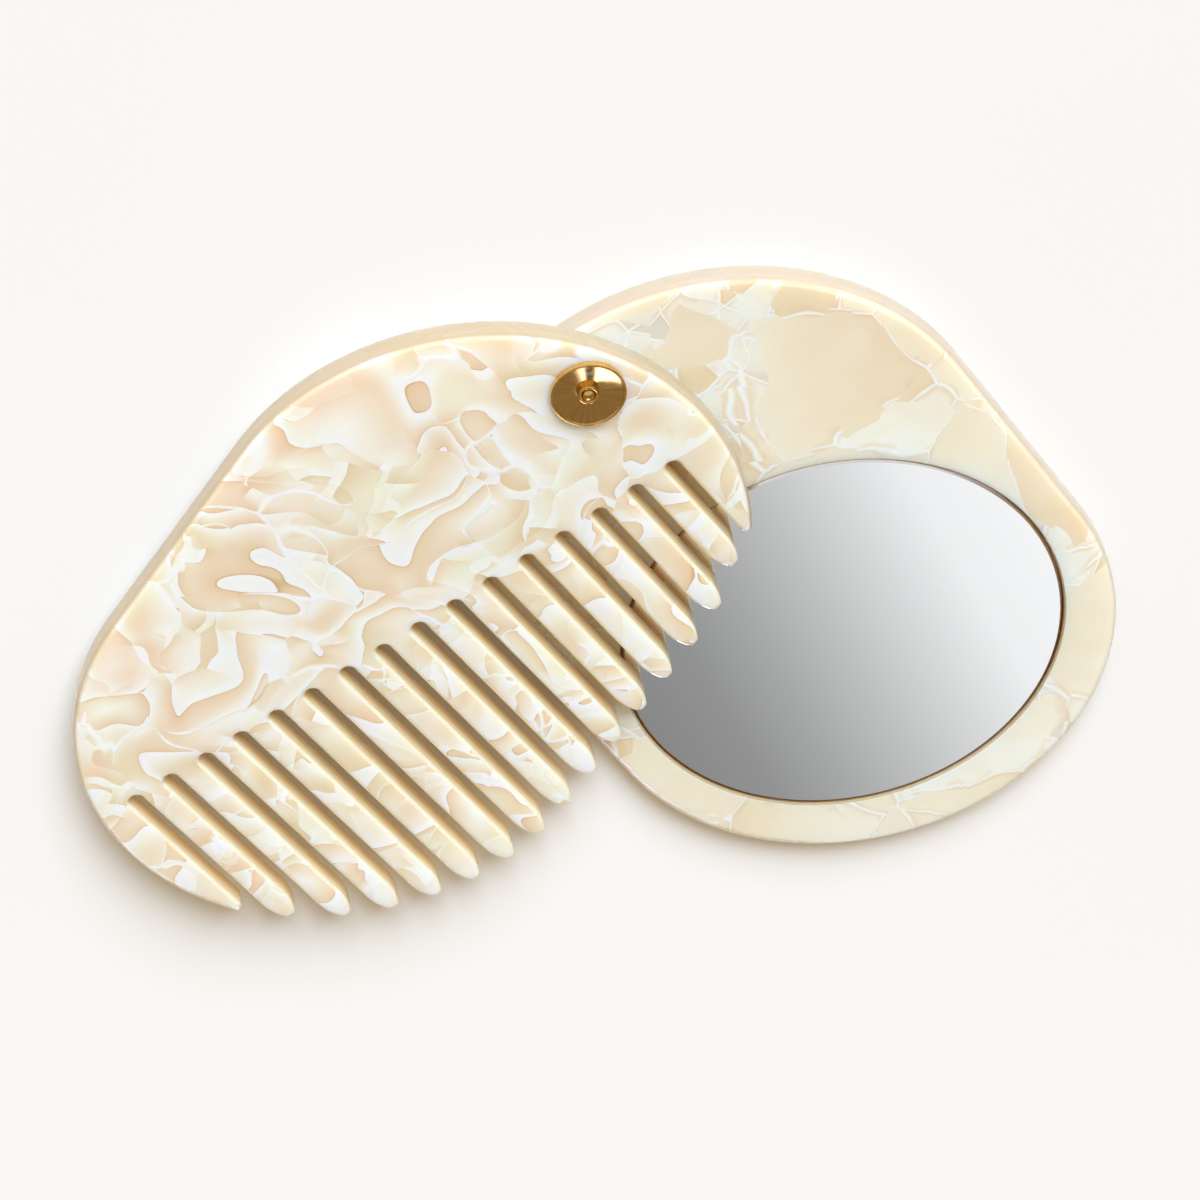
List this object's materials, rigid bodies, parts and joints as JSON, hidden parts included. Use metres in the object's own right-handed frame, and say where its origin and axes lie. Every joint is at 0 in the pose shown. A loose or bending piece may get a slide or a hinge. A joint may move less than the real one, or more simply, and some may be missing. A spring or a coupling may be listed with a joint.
{
  "type": "folding pocket mirror comb",
  "caption": "Folding pocket comb and mirror: two pearl racetrack plates on one brass rivet, one sawn into slanting teeth, one holding a round mirror.",
  "frame": {"origin": "middle of the mirror plate's flat back face, which is the face it lies on", "axes": "+X from the rivet end to the far end of the mirror plate, +Z out of the mirror's face; the comb plate lies above, swung 67.5 degrees open towards -Y"},
  "size_m": [0.1236, 0.1343, 0.0092],
  "materials": {
    "tile_acetate": "polished cream pearl sheet in angular tiles",
    "swirl_acetate": "polished cream pearl sheet with white swirls",
    "mirror": "silvered flat glass with a small ground bevel",
    "adhesive": "thin grey pad",
    "brass": "polished",
    "nylon": "natural nylon"
  },
  "bodies": {
    "mirror_half": {"mirror_plate": "tile_acetate", "mirror_pad": "adhesive", "mirror_glass": "mirror", "hollow_rivet": "brass", "rivet_pin": "brass", "dished_washer": "brass", "slip_washer": "nylon", "rear_washer": "brass"},
    "comb_half": {"comb_plate": "swirl_acetate"}
  },
  "joints": [
    {"name": "comb_swing", "type": "hinge", "parent": "mirror_half", "child": "comb_half", "pos_m": [-0.047, -0.0025, 0.0058], "axis": [0, 0, -1], "continuous": true}
  ]
}
